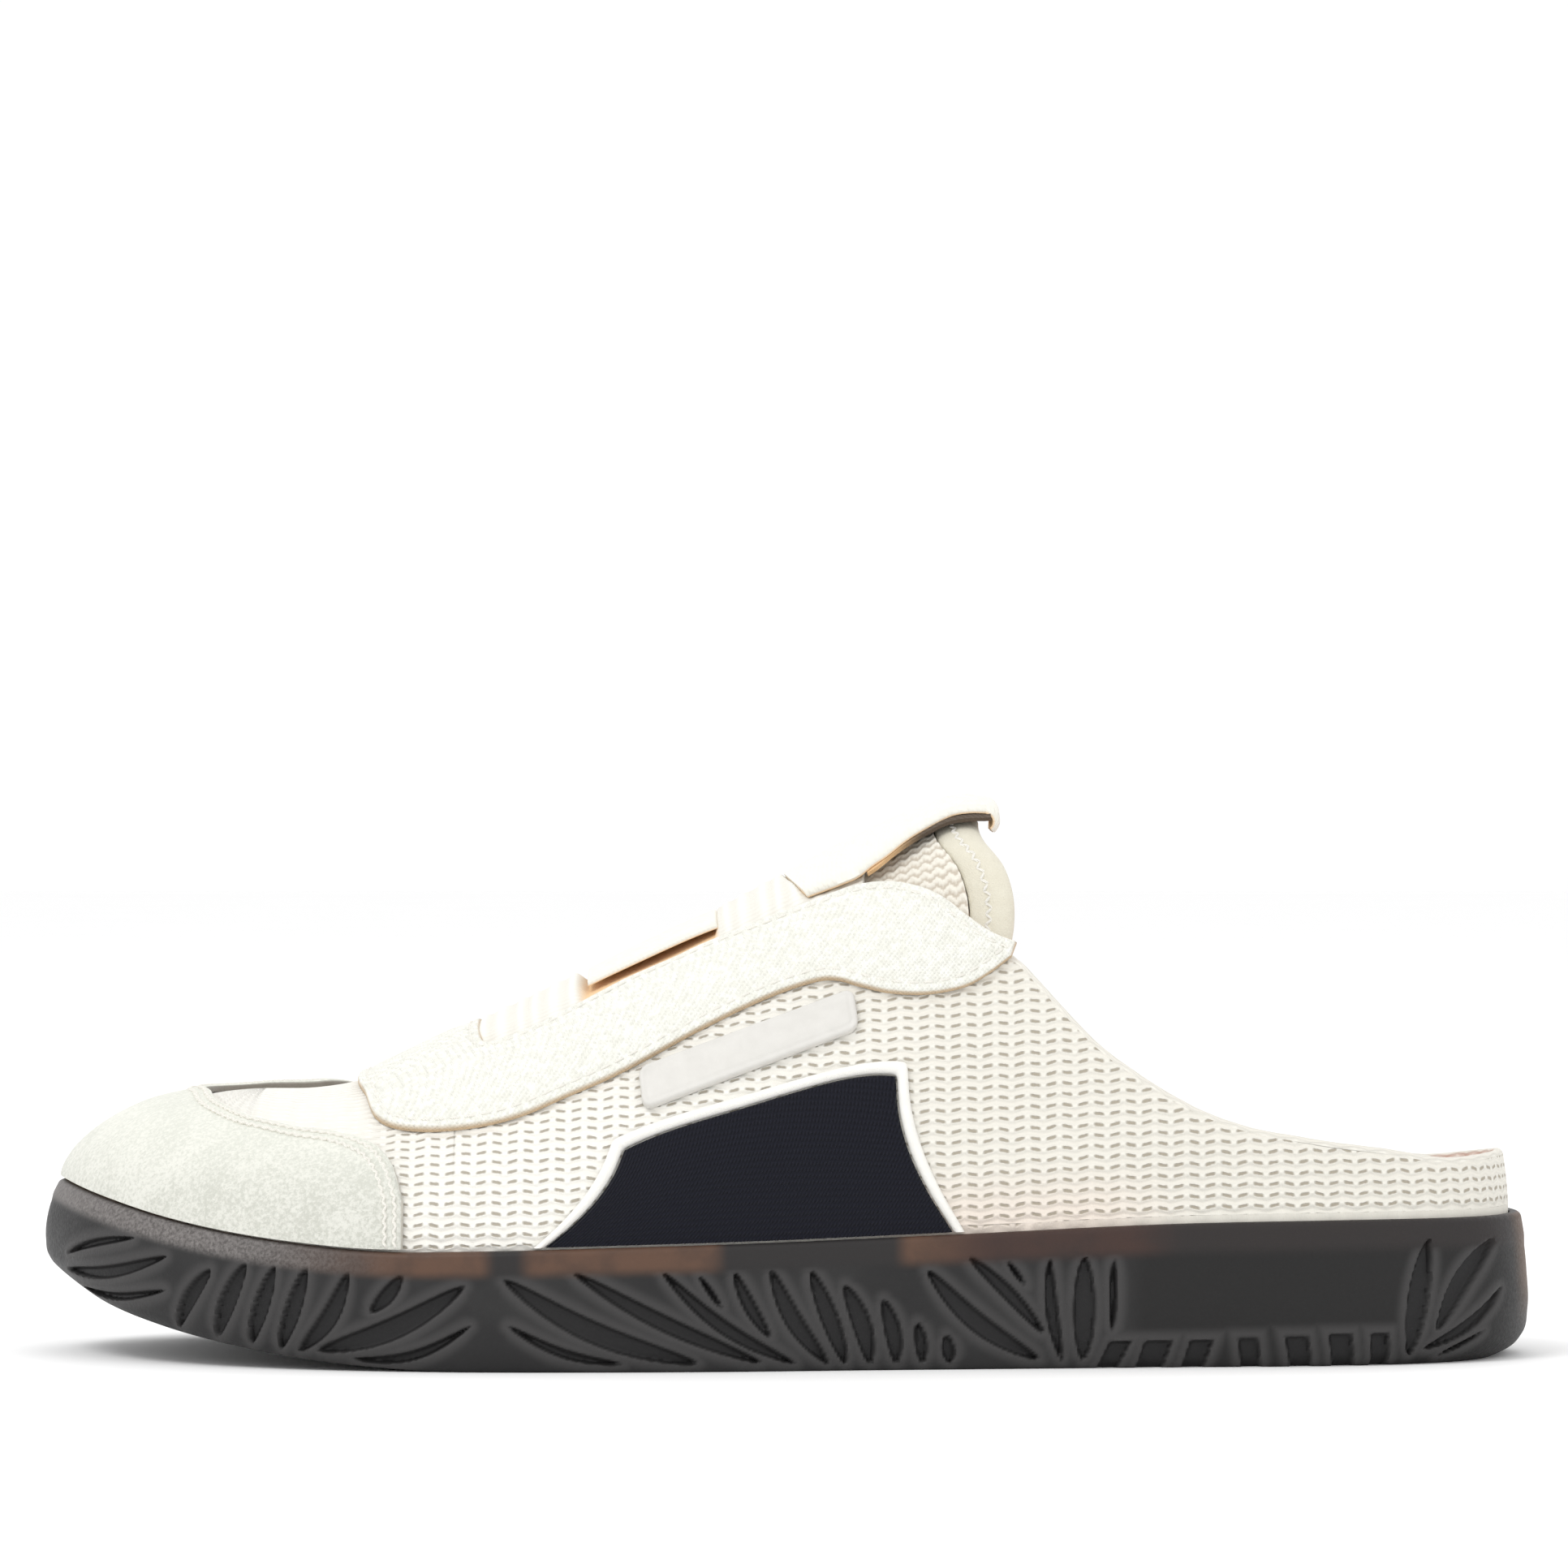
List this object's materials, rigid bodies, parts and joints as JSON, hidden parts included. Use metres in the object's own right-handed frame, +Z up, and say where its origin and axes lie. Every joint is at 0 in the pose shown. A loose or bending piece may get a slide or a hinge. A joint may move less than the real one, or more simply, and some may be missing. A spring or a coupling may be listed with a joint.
{
  "type": "sneaker_mule",
  "caption": "Backless lifestyle sneaker mule, left shoe: knit upper with suede mudguard, eyestay, elastic throat, pull loop and a grooved rubber cupsole",
  "frame": {"origin": "middle of the outsole's length and width, on the floor the tread stands on", "axes": "+X from toe to heel, +Y towards the inner side of the foot, +Z up"},
  "size_m": [0.2847, 0.105, 0.107],
  "materials": {
    "outsole": "smoky translucent satin rubber, brown where it is thin",
    "insole": "fabric-faced foam",
    "upper": "coarse knit mesh",
    "toe_cap": "short-nap suede",
    "eyestay": "textured canvas",
    "throat_gore": "ribbed elastic",
    "instep_strap": "woven webbing",
    "tongue": "padded coarse knit",
    "tongue_binding": "smooth binding tape",
    "pull_loop": "woven webbing",
    "side_label": "matt rubber",
    "side_panel": "fine ribbed knit",
    "side_panel_edging": "raised tape"
  },
  "bodies": {
    "root": {"outsole": "outsole", "insole": "insole", "upper": "upper", "toe_cap": "toe_cap", "eyestay": "eyestay", "throat_gore": "throat_gore", "instep_strap": "instep_strap", "tongue": "tongue", "tongue_binding": "tongue_binding", "pull_loop": "pull_loop", "side_label": "side_label", "side_panel_outer": "side_panel", "side_panel_inner": "side_panel", "side_panel_edging_outer": "side_panel_edging", "side_panel_edging_inner": "side_panel_edging"}
  },
  "joints": []
}
